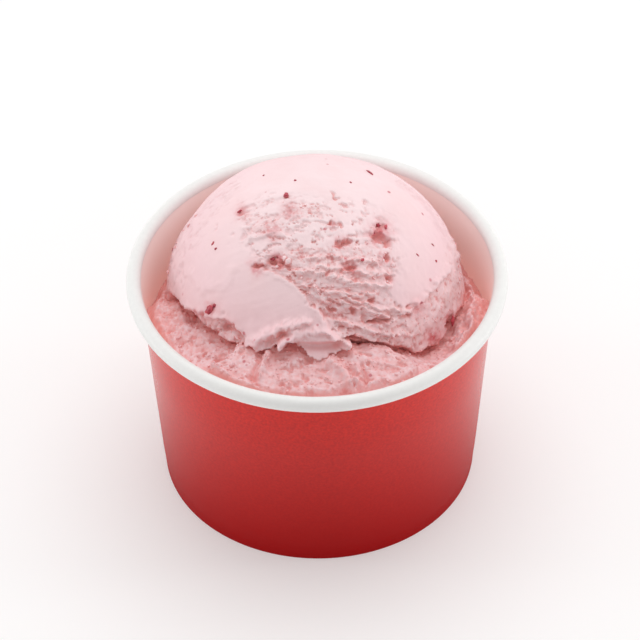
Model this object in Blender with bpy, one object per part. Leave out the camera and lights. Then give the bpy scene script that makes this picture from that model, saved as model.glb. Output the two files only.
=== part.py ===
"""A paper ice cream cup that holds two scoops of strawberry ice cream.

The lower scoop is pressed into the cup, and the upper one sits in a hollow in its top.
Blender 4.5, metres, +Z up. The origin is the middle of the cup's foot, on the table.
The front is towards -Y, where the upper scoop shows its torn face and its lips.
"""

import math

import bmesh
import bpy
import numpy as np
from mathutils import noise

MM = 0.001

# Cup
CUP_HEIGHT = 61.7 * MM
RIM_RADIUS = 47.5 * MM
RIM_WIDTH = 3.7 * MM
RIM_DEPTH = 3.9 * MM
WALL_TOP_RADIUS = 44.1 * MM
WALL_FOOT_RADIUS = 39.9 * MM
PAPER = 0.5 * MM
GAP = 0.3 * MM
SEAM_WIDTH = 8.0 * MM
SEAM_STEP = 0.35 * MM
CUP_SEGMENTS = 84
ROLL_STEPS = 9

# Foot of the cup: the wall folds in and up round the skirt of the base disc
CREASE_HEIGHT = 5.2 * MM
CREASE_DEPTH = 0.25 * MM
HEM_HEIGHT = 4.6 * MM
BASE_HEIGHT = 6.3 * MM

# Upper scoop: a slightly flattened ball, set towards the back of the cup
SCOOP_CENTRE = (-0.2 * MM, 4.5 * MM, 51.1 * MM)
SCOOP_RADIUS = 36.3 * MM
SCOOP_HALF_HEIGHT = 30.6 * MM
SCOOP_LUMPS = 0.7 * MM
HOLLOW_DEPTH = 16.0 * MM
SCOOP_AROUND = 96
SCOOP_RINGS = 31
UPPER_RINGS = 23

# The torn face looks out of the cup at this angle above the horizon.
# Places on it are in mm, to the right of and above the scoop's middle as seen square on.
FACE_TILT = math.radians(42.8)
SKIN = 0.9 * MM
TERRACE = 1.0 * MM
TORN = [
    # across, up, half length, half height, turn in degrees
    (2.5, 4.5, 14.0, 6.5, -8),
    (12.5, -2.5, 9.5, 8.5, 0),
    (16.0, -10.5, 12.5, 5.5, -10),
    (30.5, -6.0, 8.0, 6.5, 60),
    (-12.5, 15.5, 6.0, 2.6, -32),
    (-26.0, -11.5, 10.0, 4.5, -38),
]
PITS = [
    # across, up, half length, half width, turn in degrees, depth
    (-13.6, 5.3, 1.6, 0.9, 0, 1.6),
    (15.6, 13.4, 3.0, 1.7, -18, 1.8),
    (7.0, 11.1, 3.4, 0.9, 4, 1.3),
    (17.0, -7.2, 5.0, 1.5, 18, 1.7),
    (32.8, -8.8, 1.4, 2.6, -20, 2.2),
    (-21.0, -8.0, 2.2, 1.2, -25, 2.0),
    (4.0, 15.4, 1.7, 0.9, -10, 1.2),
    (17.6, 6.2, 1.6, 1.0, 40, 1.3),
    (9.0, -6.0, 1.3, 1.6, 0, 1.2),
]

# Lower edge of the upper scoop's skin on the torn face, and the tongue that hangs below it
LIP_OUT = 2.4 * MM
LIP_REACH = 5.0 * MM
UNDERCUT = 1.3 * MM
LIP_EDGE = [
    # across, up, in mm
    (-30.0, -20.0),
    (-17.0, -11.8),
    (-13.5, -14.0),
    (-8.5, -13.8),
    (-5.0, -11.6),
    (2.5, -11.8),
    (8.0, -11.6),
    (20.0, -14.4),
    (26.0, -17.0),
    (32.0, -16.5),
]
TONGUE_MIDDLE = 0.8 * MM
TONGUE_HALF_WIDTH = 7.6 * MM
TONGUE_TIP = -17.2 * MM
TONGUE_ROOT = -11.5 * MM
TONGUE_OUT = 2.6 * MM

# Height of the upper scoop's skirt above its middle, by longitude from the front
SKIRT = [
    # degrees to the right of the front, mm
    (-180, -7.0),
    (-100, -5.0),
    (-60, -2.5),
    (-45, 0.5),
    (-33, 6.5),
    (-26, 8.6),
    (0, 9.0),
    (22, 9.0),
    (33, 6.0),
    (43, 1.5),
    (57, -1.0),
    (72, -1.0),
    (95, -4.5),
    (180, -7.0),
]

# Lower scoop: its top at the wall, above the upper scoop's middle, by the same longitude
BED_TOP = [
    (-180, -4.0),
    (-104, -3.0),
    (-93, 1.0),
    (-82, 3.6),
    (-66, 3.8),
    (-42, 4.6),
    (-20, 5.4),
    (10, 5.4),
    (38, 4.2),
    (54, 3.0),
    (68, 3.4),
    (80, 4.2),
    (90, 2.0),
    (102, -3.0),
    (180, -4.0),
]
# The same where it meets the upper scoop's side
BED_SIDE = [
    (-180, -5.0),
    (-104, -4.0),
    (-93, 1.0),
    (-82, 4.5),
    (-67, 6.4),
    (-54, 7.0),
    (-40, 7.5),
    (-31, 8.4),
    (-20, 9.2),
    (15, 9.2),
    (28, 8.4),
    (36, 6.0),
    (44, 1.6),
    (55, 0.0),
    (70, 0.4),
    (84, 1.5),
    (102, -4.0),
    (180, -5.0),
]
BED_LUMPS = 1.3 * MM
BED_SHOULDER = 3.2 * MM
BED_AROUND = 72
BED_CLEARANCE = 0.65 * MM
BED_INNER_RINGS = [5.0 * MM, 10.0 * MM, 15.0 * MM, 20.0 * MM, 25.0 * MM]
BED_OUTER_RINGS = 15
BED_STEP = 2.5 * MM
PROBE_TOP = 16.0 * MM
PROBE_STEP = 0.3 * MM

RED_PRINT = (0.52, 0.022, 0.022, 1.0)
PAPER_WHITE = (0.86, 0.84, 0.80, 1.0)
STRAWBERRY_PINK = (0.85, 0.52, 0.55, 1.0)
DEEPER_PINK = (0.80, 0.42, 0.44, 1.0)


def clear_scene():
    for obj in list(bpy.data.objects):
        bpy.data.objects.remove(obj)


def make_material(name, colour, roughness):
    material = bpy.data.materials.new(name)
    material.use_nodes = True
    shader = material.node_tree.nodes["Principled BSDF"]
    shader.inputs["Base Color"].default_value = colour
    shader.inputs["Roughness"].default_value = roughness
    shader.inputs["Metallic"].default_value = 0.0
    material.diffuse_color = colour
    return material


def finish_object(name, mesh_source, material):
    """Makes a named object of a closed bmesh, faces outward and round faces smooth."""
    bmesh.ops.recalc_face_normals(mesh_source, faces=mesh_source.faces)
    bmesh.ops.triangulate(mesh_source, faces=mesh_source.faces)
    mesh = bpy.data.meshes.new(name)
    mesh_source.to_mesh(mesh)
    mesh_source.free()
    mesh.shade_smooth()
    mesh.set_sharp_from_angle(angle=math.radians(40))
    mesh.materials.append(material)
    obj = bpy.data.objects.new(name, mesh)
    bpy.context.scene.collection.objects.link(obj)
    return obj


def spin_profile(profile, closed):
    """Turns (radius, height) points about the cup's axis. An open profile starts and ends on the axis."""
    shape = bmesh.new()
    verts = [shape.verts.new((radius, 0.0, height)) for radius, height in profile]
    pairs = list(zip(verts, verts[1:]))
    if closed:
        pairs.append((verts[-1], verts[0]))
    edges = [shape.edges.new(pair) for pair in pairs]
    bmesh.ops.spin(
        shape,
        geom=verts + edges,
        cent=(0, 0, 0),
        axis=(0, 0, 1),
        angle=math.tau,
        steps=CUP_SEGMENTS,
        use_merge=True,
    )
    bmesh.ops.remove_doubles(shape, verts=shape.verts, dist=0.00001)
    return shape


def wall_outside(height):
    """Radius of the printed side of the wall at a height."""
    share = height / (CUP_HEIGHT - RIM_DEPTH)
    return WALL_FOOT_RADIUS + (WALL_TOP_RADIUS - WALL_FOOT_RADIUS) * share


def wall_inside(height):
    """Radius of the inner side of the wall at a height."""
    return wall_outside(height) - PAPER


def rim_roll():
    """The rolled rim's section, from its underside at the wall, round the outside, to its inner edge."""
    middle_radius = RIM_RADIUS - RIM_WIDTH / 2
    middle_height = CUP_HEIGHT - RIM_DEPTH / 2
    start = math.radians(-118)
    end = math.radians(180)
    points = []
    for step in range(ROLL_STEPS + 1):
        angle = start + (end - start) * step / ROLL_STEPS
        radius = middle_radius + RIM_WIDTH / 2 * math.cos(angle)
        height = middle_height + RIM_DEPTH / 2 * math.sin(angle)
        points.append((radius, height))
    return points


def build_cup_wall(material):
    """The wrapped side wall, its rolled rim and the hem folded up inside its foot."""
    roll = rim_roll()
    under_rim = roll[0][1] + 0.2 * MM
    channel = PAPER + 2 * GAP
    hem_outside = wall_inside(PAPER) - channel
    profile = [
        (wall_outside(0.0) - CREASE_DEPTH, 0.0),
        (wall_outside(CREASE_HEIGHT) - CREASE_DEPTH, CREASE_HEIGHT - 0.4 * MM),
        (wall_outside(CREASE_HEIGHT), CREASE_HEIGHT + 0.4 * MM),
        (wall_outside(CUP_HEIGHT / 2), CUP_HEIGHT / 2),
        (wall_outside(under_rim), under_rim),
    ]
    profile += roll[1:]
    profile += [
        (wall_inside(CUP_HEIGHT / 2), CUP_HEIGHT / 2),
        (wall_inside(PAPER) - CREASE_DEPTH, PAPER),
        (hem_outside - CREASE_DEPTH, PAPER),
        (hem_outside - CREASE_DEPTH, HEM_HEIGHT),
        (hem_outside - CREASE_DEPTH - PAPER, HEM_HEIGHT),
        (hem_outside - CREASE_DEPTH - PAPER, 0.0),
    ]
    shape = spin_profile(profile, closed=True)
    add_seam(shape)
    return finish_object("cup_wall", shape, material)


def add_seam(shape):
    """Thickens the printed side at the back, where the two ends of the wall overlap."""
    half_angle = SEAM_WIDTH / 2 / WALL_TOP_RADIUS
    for vert in shape.verts:
        radius = math.hypot(vert.co.x, vert.co.y)
        from_back = math.atan2(vert.co.x, vert.co.y)
        on_print = radius > wall_outside(vert.co.z) - CREASE_DEPTH - 0.1 * MM
        below_rim = vert.co.z < CUP_HEIGHT - RIM_DEPTH + 0.5 * MM
        if abs(from_back) < half_angle and on_print and below_rim:
            vert.co.xy *= (radius + SEAM_STEP) / radius


def build_cup_base(material):
    """The base disc, with its skirt turned down inside the hem."""
    top = BASE_HEIGHT
    underside = BASE_HEIGHT - PAPER
    skirt_foot = PAPER + GAP
    top_edge = wall_inside(top) - GAP - CREASE_DEPTH
    foot_edge = wall_inside(skirt_foot) - GAP - CREASE_DEPTH
    profile = [
        (0.0, top),
        (top_edge / 2, top),
        (top_edge, top),
        (foot_edge, skirt_foot),
        (foot_edge - PAPER, skirt_foot),
        (top_edge - PAPER, underside),
        (top_edge / 2, underside),
        (0.0, underside),
    ]
    return finish_object("cup_base", spin_profile(profile, closed=False), material)


def smooth_step(value, low, high):
    share = np.clip((value - low) / (high - low), 0.0, 1.0)
    return share * share * (3.0 - 2.0 * share)


def by_longitude(table, longitude):
    """Reads a (degrees, mm) table, which closes on itself at the back."""
    degrees, heights = zip(*table)
    return np.interp(np.degrees(longitude), degrees, heights) * MM


def bumps(points, size, octaves, shift=0.0):
    """Fractal noise from about -1 to 1 whose largest bumps are about size across."""
    scaled = (points / size + shift).tolist()
    return np.array([noise.fractal(p, 1.0, 2.0, octaves) for p in scaled])


def ridges(points, size, octaves, shift=0.0):
    """Sharp-crested noise from 0 to about 2."""
    scaled = (points / size + shift).tolist()
    return np.array(
        [noise.ridged_multi_fractal(p, 1.0, 2.0, octaves, 1.0, 2.0) for p in scaled]
    )


def blob(across, up, centre_across, centre_up, half_length, half_height, turn):
    """How deep a point lies in an ellipse on the face: 1 at its middle and 0 at its edge."""
    angle = math.radians(turn)
    right = across / MM - centre_across
    above = up / MM - centre_up
    along = right * math.cos(angle) + above * math.sin(angle)
    over = above * math.cos(angle) - right * math.sin(angle)
    return 1.0 - np.sqrt((along / half_length) ** 2 + (over / half_height) ** 2)


def face_frame(points):
    """Splits points, measured from the scoop's middle, into across, up and towards the viewer."""
    across = points[:, 0]
    up = points[:, 1] * math.sin(FACE_TILT) + points[:, 2] * math.cos(FACE_TILT)
    out = points[:, 2] * math.sin(FACE_TILT) - points[:, 1] * math.cos(FACE_TILT)
    return across, up, out


def torn_share(points):
    """1 where the skin is torn off, 0 where it is whole."""
    across, up, out = face_frame(points)
    wobble = 0.22 * bumps(points, 7.0 * MM, 4)
    deepest = np.full(len(points), -9.0)
    for patch in TORN:
        deepest = np.maximum(deepest, blob(across, up, *patch) * min(patch[2:4]) / 5.0)
    on_face = smooth_step(deepest + wobble, -0.02, 0.10)
    behind = smooth_step(bumps(points, 26.0 * MM, 2, shift=3.0), 0.16, 0.22)
    return np.where(out > 0.0, on_face, behind * smooth_step(-out, 0.0, 6.0 * MM))


def scoop_relief(points):
    """How far the upper scoop's surface stands off its plain ball."""
    across, up, out = face_frame(points)
    facing = smooth_step(out, 0.0, 4.0 * MM)
    torn = torn_share(points)
    stretched = points * np.array([0.35, 1.0, 1.0])
    relief = SCOOP_LUMPS * bumps(points, 24.0 * MM, 2)
    relief += SKIN * (1.0 - torn)
    relief += TERRACE * torn * (ridges(stretched, 5.0 * MM, 2) - 1.1)
    for pit in PITS:
        depth = np.clip(blob(across, up, *pit[:5]) * 2.0, 0.0, 1.0)
        relief -= pit[5] * MM * depth * facing
    return relief + lip_relief(points, across, up, facing)


def lip_relief(points, across, up, facing):
    """The flared, ragged lower edge of the skin, the undercut below it and the tongue."""
    edge_across, edge_up = zip(*LIP_EDGE)
    edge = np.interp(across / MM, edge_across, edge_up) * MM
    edge += 0.5 * MM * bumps(points, 3.0 * MM, 2, shift=7.0)
    above = up - edge
    near = facing * smooth_step(across, -19.0 * MM, -15.0 * MM)
    near *= 1.0 - smooth_step(across, 27.0 * MM, 32.0 * MM)
    flare = LIP_OUT * np.exp(-np.maximum(above, 0.0) / LIP_REACH)
    over = smooth_step(above, 0.0, 0.6 * MM)
    relief = near * (over * flare - (1.0 - over) * UNDERCUT)
    aside = (across - TONGUE_MIDDLE) / TONGUE_HALF_WIDTH
    tongue_edge = TONGUE_TIP + (TONGUE_ROOT - TONGUE_TIP) * np.minimum(aside**2, 1.2)
    on_tongue = smooth_step(up - tongue_edge, 0.0, 0.6 * MM) * (1.0 - over) * near
    return relief + on_tongue * TONGUE_OUT


def seat_radius(directions):
    """Distance from the scoop's middle to the bowl its underside follows, along unit vectors."""
    longitude = np.arctan2(directions[:, 0], -directions[:, 1])
    level = np.maximum(np.hypot(directions[:, 0], directions[:, 1]), 1e-6)
    slope = directions[:, 2] / level
    skirt = by_longitude(SKIRT, longitude)
    skirt_distance = SCOOP_RADIUS * np.sqrt(1.0 - (skirt / SCOOP_HALF_HEIGHT) ** 2)
    bend = (skirt + HOLLOW_DEPTH) / skirt_distance**2
    reach = np.sqrt(slope**2 + 4.0 * bend * HOLLOW_DEPTH)
    return 2.0 * HOLLOW_DEPTH / (reach - slope) / level


def scoop_radius(directions):
    """Distance from the upper scoop's middle to its surface, along unit vectors."""
    level = np.hypot(directions[:, 0], directions[:, 1])
    plain = 1.0 / np.hypot(
        level / SCOOP_RADIUS, directions[:, 2] / SCOOP_HALF_HEIGHT
    )
    shown = plain + scoop_relief(directions * plain[:, None])
    return np.minimum(shown, seat_radius(directions))


def build_upper_scoop(material):
    """Rings of points about the upright axis, closest together above the scoop's widest place."""
    directions = [(0.0, 0.0, 1.0)]
    widest = math.radians(98)
    for ring in range(1, SCOOP_RINGS):
        if ring <= UPPER_RINGS:
            away = widest * ring / UPPER_RINGS
        else:
            share = (ring - UPPER_RINGS) / (SCOOP_RINGS - UPPER_RINGS)
            away = widest + (math.pi - widest) * share
        for step in range(SCOOP_AROUND):
            turn = math.tau * (step + 0.5) / SCOOP_AROUND - math.pi
            side = math.sin(away)
            directions.append((side * math.sin(turn), -side * math.cos(turn), math.cos(away)))
    directions.append((0.0, 0.0, -1.0))
    vectors = np.array(directions)
    places = vectors * scoop_radius(vectors)[:, None] + np.array(SCOOP_CENTRE)
    shape = rings_to_solid(places, SCOOP_AROUND, SCOOP_RINGS - 1)
    return finish_object("upper_scoop", shape, material)


def rings_to_solid(places, around, rings):
    """Joins a start point, rings of points and an end point into one closed skin."""
    shape = bmesh.new()
    verts = [shape.verts.new(tuple(place)) for place in places]

    def ring_vert(ring, step):
        return verts[1 + ring * around + step % around]

    for step in range(around):
        shape.faces.new((verts[0], ring_vert(0, step), ring_vert(0, step + 1)))
        last = rings - 1
        shape.faces.new((verts[-1], ring_vert(last, step + 1), ring_vert(last, step)))
        for ring in range(rings - 1):
            shape.faces.new(
                (
                    ring_vert(ring, step),
                    ring_vert(ring + 1, step),
                    ring_vert(ring + 1, step + 1),
                    ring_vert(ring, step + 1),
                )
            )
    return shape


def wall_distance(longitude, height):
    """Level distance from the scoop's axis to the cup's inner wall, less the gap."""
    radius = wall_inside(height) - GAP
    east = np.sin(longitude)
    north = -np.cos(longitude)
    along = SCOOP_CENTRE[0] * east + SCOOP_CENTRE[1] * north
    square = SCOOP_CENTRE[0] ** 2 + SCOOP_CENTRE[1] ** 2
    return np.sqrt(along**2 - square + radius**2) - along


def around_scoop(distance, longitude, height):
    """Points, measured from the scoop's middle, at level distances, longitudes and heights."""
    across = np.sin(longitude) * distance
    back = -np.cos(longitude) * distance
    return np.stack([across, back, np.broadcast_to(height, across.shape)], axis=1)


def lowest_of_scoop(distance, longitude):
    """Height, above the scoop's middle, where the upper scoop is first met on the way up."""
    lowest = np.full(len(distance), SCOOP_HALF_HEIGHT)
    for height in np.arange(PROBE_TOP, -HOLLOW_DEPTH - PROBE_STEP, -PROBE_STEP):
        places = around_scoop(distance, longitude, height)
        reach = np.linalg.norm(places, axis=1)
        inside = reach < scoop_radius(places / reach[:, None]) + GAP
        lowest = np.where(inside, height, lowest)
    return lowest


def step_clear(limits):
    """Where the limit on the bed's height jumps, keeps to the lower side for one more point."""
    sides = np.minimum(np.roll(limits, 1, axis=1), np.roll(limits, -1, axis=1))
    least = np.minimum(limits, sides)
    padded = np.concatenate([least[:1], least, least[-1:]])
    least = np.minimum(least, np.minimum(padded[:-2], padded[2:]))
    return np.where(limits - least > BED_STEP, least, limits)


def bed_top(distance, longitude):
    """Height of the lower scoop's lumpy top above the upper scoop's middle, where it is free."""
    places = around_scoop(distance, longitude, 0.0)
    wall = wall_distance(longitude, SCOOP_CENTRE[2])
    to_wall = wall - distance
    inward = np.clip(to_wall / (wall - SCOOP_RADIUS), 0.0, 1.0)
    top = by_longitude(BED_TOP, longitude) * (1.0 - inward)
    top += by_longitude(BED_SIDE, longitude) * inward
    top += BED_LUMPS * bumps(places, 6.0 * MM, 3, shift=11.0)
    at_side = smooth_step(np.abs(np.degrees(longitude)), 48.0, 70.0)
    edge = 1.0 - smooth_step(to_wall, 0.0, 4.0 * MM)
    return top - BED_SHOULDER * edge * at_side


def build_lower_scoop(material):
    """The pressed-in scoop: its hollowed, lumpy top, its side along the wall and its flat foot."""
    turns = np.radians((np.arange(BED_AROUND) + 0.5) * 360.0 / BED_AROUND - 180.0)
    wall = wall_distance(turns, SCOOP_CENTRE[2])
    edge = np.minimum(bed_top(wall, turns), lowest_of_scoop(wall - GAP, turns))
    wall = wall_distance(turns, SCOOP_CENTRE[2] + edge - BED_LUMPS)
    rings = [np.full(BED_AROUND, distance) for distance in BED_INNER_RINGS]
    for step in range(1, BED_OUTER_RINGS + 1):
        share = step / BED_OUTER_RINGS
        rings.append(BED_INNER_RINGS[-1] + (wall - BED_INNER_RINGS[-1]) * share)
    limits = step_clear(np.array([lowest_of_scoop(ring, turns) for ring in rings]))
    places = [np.array([[0.0, 0.0, -HOLLOW_DEPTH - BED_CLEARANCE]])]
    for ring, limit in zip(rings, limits):
        height = np.minimum(bed_top(ring, turns), limit - BED_CLEARANCE)
        places.append(around_scoop(ring, turns, height))
    foot = BASE_HEIGHT + GAP - SCOOP_CENTRE[2]
    foot_wall = wall_distance(turns, BASE_HEIGHT) - CREASE_DEPTH
    for share in (1.0, 0.5):
        places.append(around_scoop(foot_wall * share, turns, foot))
    places.append(np.array([[0.0, 0.0, foot]]))
    places = np.concatenate(places) + np.array(SCOOP_CENTRE)
    shape = rings_to_solid(places, BED_AROUND, len(rings) + 2)
    return finish_object("lower_scoop", shape, material)


def main():
    clear_scene()
    build_cup_wall(make_material("red_printed_paper", RED_PRINT, 0.38))
    build_cup_base(make_material("white_paper", PAPER_WHITE, 0.6))
    build_lower_scoop(make_material("torn_ice_cream", DEEPER_PINK, 0.55))
    build_upper_scoop(make_material("strawberry_ice_cream", STRAWBERRY_PINK, 0.45))


main()
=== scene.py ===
"""Dresses a red paper cup of strawberry ice cream: the paper, the two scoops, the fruit and the studio.

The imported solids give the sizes. The front, towards -Y, shows the upper scoop's torn face.
"""

import math

import bmesh
import bpy
import numpy as np
from bpy.props import FloatProperty, FloatVectorProperty, IntProperty, PointerProperty
from bpy.types import Operator, Panel, PropertyGroup
from mathutils import Matrix, Vector, noise


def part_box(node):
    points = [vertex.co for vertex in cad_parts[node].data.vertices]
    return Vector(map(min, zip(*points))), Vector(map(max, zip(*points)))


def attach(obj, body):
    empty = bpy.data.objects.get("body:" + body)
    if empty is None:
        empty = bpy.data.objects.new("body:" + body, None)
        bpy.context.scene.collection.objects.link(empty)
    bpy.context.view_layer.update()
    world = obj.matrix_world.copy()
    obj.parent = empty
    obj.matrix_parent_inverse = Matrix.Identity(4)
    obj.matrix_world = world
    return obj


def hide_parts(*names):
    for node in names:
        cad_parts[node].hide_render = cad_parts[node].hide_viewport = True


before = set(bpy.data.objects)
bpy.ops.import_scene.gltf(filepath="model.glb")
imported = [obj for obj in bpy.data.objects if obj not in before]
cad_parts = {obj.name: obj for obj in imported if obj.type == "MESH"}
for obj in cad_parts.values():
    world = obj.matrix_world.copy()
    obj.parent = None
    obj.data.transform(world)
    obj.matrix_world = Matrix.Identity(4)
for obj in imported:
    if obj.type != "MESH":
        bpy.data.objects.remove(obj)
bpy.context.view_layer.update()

bl_info = {
    "name": "Ice Cream Cup",
    "version": (1, 0, 0),
    "blender": (4, 5, 0),
    "location": "View3D > Sidebar > Ice Cream",
    "description": "Builds a paper cup with two scoops of strawberry ice cream",
    "category": "Add Mesh",
}

MM = 0.001
BODY = "root"
PAINTED = "surface"

# Places on the torn face, in mm: to the right of and above the upper scoop's middle, seen square on.
# Outlines of the patches where the smooth skin is torn off.
MAIN_TEAR = [
    (-13.5, 5.2), (-10.5, 8.5), (-5.5, 11.4), (-1.0, 10.2), (4.0, 11.6), (10.0, 11.0), (13.5, 12.8),
    (18.6, 10.0), (18.2, 5.0), (17.6, -1.5), (19.5, -4.2), (24.0, -3.8), (28.5, -0.5), (32.5, 4.5),
    (36.5, 8.0), (37.5, -8.0), (31.0, -20.0), (20.0, -20.0), (9.0, -16.0), (4.0, -10.5),
    (0.8, -5.5), (-4.5, 0.2), (-8.5, 3.2),
]
LOW_LEFT_TEAR = [
    (-38.0, -3.0), (-29.8, -4.8), (-26.0, -6.3), (-22.5, -7.0), (-19.8, -8.4), (-17.4, -10.6),
    (-16.6, -13.2), (-17.0, -22.0), (-38.0, -22.0),
]
UPPER_LEFT_TEAR = [
    (-18.5, 21.5), (-16.8, 22.3), (-16.0, 19.6), (-12.0, 19.0), (-9.0, 17.2), (-7.6, 14.2),
    (-11.5, 13.4), (-15.5, 13.0), (-17.8, 15.6), (-20.0, 17.0),
]
UPPER_MIDDLE_TEAR = [
    (-10.8, 20.6), (-6.0, 22.6), (0.5, 20.8), (2.6, 18.8), (1.0, 16.8), (-4.0, 16.8), (-8.5, 17.8),
]
RIGHT_EDGE_TEAR = [
    (24.5, 27.5), (28.5, 21.5), (32.0, 14.0), (33.6, 7.0), (38.0, 6.0), (41.0, 14.0), (35.0, 27.0),
    (27.0, 32.0),
]
LEFT_EDGE_TEAR = [
    (-41.0, -3.0), (-36.2, -1.0), (-35.0, 8.0), (-31.6, 16.5), (-26.5, 23.5), (-20.5, 28.8), (-14.0, 31.8),
    (-17.0, 36.0), (-31.0, 29.0), (-40.0, 14.0),
]
TEARS = [
    # outline, how deep the tear is as a share of the skin's thickness, how broken up it is
    (MAIN_TEAR, 1.0, 1.0),
    (LOW_LEFT_TEAR, 1.3, 1.0),
    (UPPER_LEFT_TEAR, 0.6, 2.6),
    (UPPER_MIDDLE_TEAR, 0.6, 2.6),
    (RIGHT_EDGE_TEAR, 0.5, 1.3),
    (LEFT_EDGE_TEAR, 0.4, 1.4),
]

# Where the skin is rubbed: outline, and how strongly
SCUFFS = [
    (
        [(-19.0, 23.0), (-10.0, 24.0), (3.0, 22.0), (12.0, 22.0), (20.0, 17.0), (21.5, 8.0),
         (19.0, -3.0), (8.0, 0.0), (-4.0, 5.0), (-14.0, 6.0), (-21.0, 14.0)],
        0.8,
    ),
    (
        [(-38.0, -2.0), (-38.0, 16.0), (-27.0, 28.0), (-20.0, 31.0), (-17.0, 26.0), (-24.0, 19.0),
         (-29.0, 11.0), (-31.0, 1.0)],
        0.6,
    ),
    (
        [(20.0, 30.0), (24.0, 25.0), (29.0, 18.0), (33.0, 8.0), (39.0, 8.0), (36.0, 22.0), (26.0, 32.0)],
        0.5,
    ),
]

# Pits: across, up, half length, half width, turn in degrees, depth, all but the turn in mm
PITS = [
    (-14.2, 5.6, 1.7, 0.8, 5, 1.5),
    (-10.6, 6.7, 1.7, 1.1, -12, 1.3),
    (-8.0, 6.3, 1.0, 0.6, 0, 1.1),
    (15.9, 12.3, 2.7, 1.3, -16, 1.9),
    (17.4, 10.6, 1.3, 0.9, 30, 1.5),
    (15.6, 15.0, 1.5, 1.1, 40, 0.7),
    (6.6, 11.1, 2.6, 0.65, 3, 1.2),
    (10.2, 10.9, 0.9, 0.4, 10, 0.8),
    (3.4, 16.0, 1.2, 0.55, 10, 0.9),
    (6.0, 15.2, 0.8, 0.5, -20, 0.8),
    (9.1, 15.8, 0.5, 0.4, 0, 0.8),
    (17.4, 7.2, 1.0, 1.3, -30, 1.1),
    (8.6, 5.0, 1.1, 1.0, 0, 1.0),
    (18.0, 2.0, 0.7, 1.0, 0, 0.9),
    (3.6, -5.2, 1.4, 0.8, -20, 1.0),
    (9.0, -5.4, 1.0, 1.4, 20, 1.1),
    (13.4, -3.0, 1.0, 0.7, 0, 0.9),
    (14.5, -8.4, 2.4, 0.5, -8, 1.3),
    (22.8, -4.6, 1.1, 0.6, 20, 1.1),
    (32.8, -8.6, 0.9, 2.3, -12, 1.7),
    (5.0, 22.6, 1.8, 0.35, -35, 0.8),
    (7.2, 20.2, 1.6, 0.35, -12, 0.7),
    (12.2, 21.2, 1.0, 0.35, -25, 0.6),
    (14.0, 19.0, 0.5, 0.3, 0, 0.5),
    (-0.6, 11.0, 0.5, 0.35, 0, 0.7),
    (-28.3, -5.7, 1.2, 0.5, -10, 1.2),
    (-22.5, -9.4, 1.6, 0.5, -20, 1.0),
    (-18.2, 18.4, 0.6, 1.3, 10, 0.7),
]

# Where fruit has coloured the ice cream: across, up, size and how strongly
STAINS = [
    (15.8, 13.6, 2.7, 0.95), (6.2, 11.1, 1.8, 0.6), (-9.6, 6.6, 2.0, 0.9), (-14.3, 5.3, 1.6, 0.9),
    (-18.2, 19.2, 1.6, 0.7), (-10.3, 13.8, 2.2, 0.5), (-6.2, 19.2, 2.2, 0.5), (8.6, 4.9, 1.5, 0.7),
    (4.1, 15.8, 1.1, 0.6), (16.7, 6.9, 1.7, 0.6), (17.5, 2.2, 1.2, 0.6), (33.5, -8.7, 2.4, 1.0),
    (28.4, -12.1, 1.7, 0.8), (-28.5, -6.3, 1.7, 0.6), (-21.5, -8.4, 1.8, 0.6), (4.1, -4.8, 1.6, 0.4),
    (9.4, -5.4, 1.5, 0.5), (24.8, -5.4, 2.0, 0.5), (15.3, -8.2, 1.8, 0.6), (-25.1, -4.6, 1.6, 0.7),
]

# Ridges and furrows: height in mm, half width in mm, then (across, up) in mm along the line
STROKES = [
    (0.55, 0.55, [(-5.5, 4.6), (0.0, 4.0), (5.5, 2.6), (9.0, 1.2), (17.5, 0.4)]),
    (0.40, 0.45, [(-2.0, 7.4), (4.0, 7.8), (10.0, 6.4), (15.0, 6.6)]),
    (0.45, 0.45, [(-3.0, 0.8), (2.5, -0.6), (8.0, -1.4), (14.0, -1.8)]),
    (0.45, 0.50, [(1.5, -3.0), (6.0, -3.6), (12.5, -5.4), (17.5, -6.8)]),
    (0.55, 0.50, [(5.0, -8.0), (10.5, -9.6), (17.0, -11.0), (23.0, -11.6)]),
    (0.75, 0.60, [(17.2, -8.2), (21.0, -6.2), (24.2, -4.2), (29.0, 0.2), (33.0, 5.0)]),
    (0.45, 0.50, [(0.5, 5.4), (6.0, 4.6), (12.0, 3.6), (17.6, 3.4)]),
    (0.50, 0.45, [(6.0, -1.8), (11.0, -3.8), (16.0, -5.0), (20.0, -5.2)]),
    (-0.80, 0.45, [(12.8, -8.6), (17.0, -7.4), (22.5, -6.6)]),
    (-0.90, 0.55, [(8.6, -12.2), (13.0, -13.6), (18.0, -14.6)]),
    (0.90, 1.00, [(-14.0, -12.2), (-11.5, -10.4), (-8.5, -9.2), (-5.0, -8.4), (-2.2, -7.8)]),
    (-0.60, 0.90, [(-11.5, -13.2), (-9.6, -11.4), (-6.8, -10.9)]),
    (0.70, 0.90, [(-8.4, -13.4), (-6.6, -12.0), (-3.4, -10.6), (1.0, -10.0), (4.4, -11.0)]),
    (0.50, 0.55, [(-9.4, -14.0), (-8.0, -12.2), (-6.6, -10.5), (-4.6, -10.0)]),
    (0.45, 0.70, [(21.5, 26.3), (26.6, 22.6), (32.2, 14.4), (35.4, 7.5)]),
    (0.35, 0.50, [(-17.6, 15.0), (-15.6, 12.4), (-11.0, 13.2), (-8.0, 13.4), (-6.4, 11.6)]),
    (0.16, 1.30, [(-30.0, 4.0), (-27.0, 0.6), (-22.5, 0.8), (-19.6, 4.4)]),
    (-0.50, 0.45, [(-25.0, -8.2), (-20.0, -9.4), (-17.4, -11.6)]),
]

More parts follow.
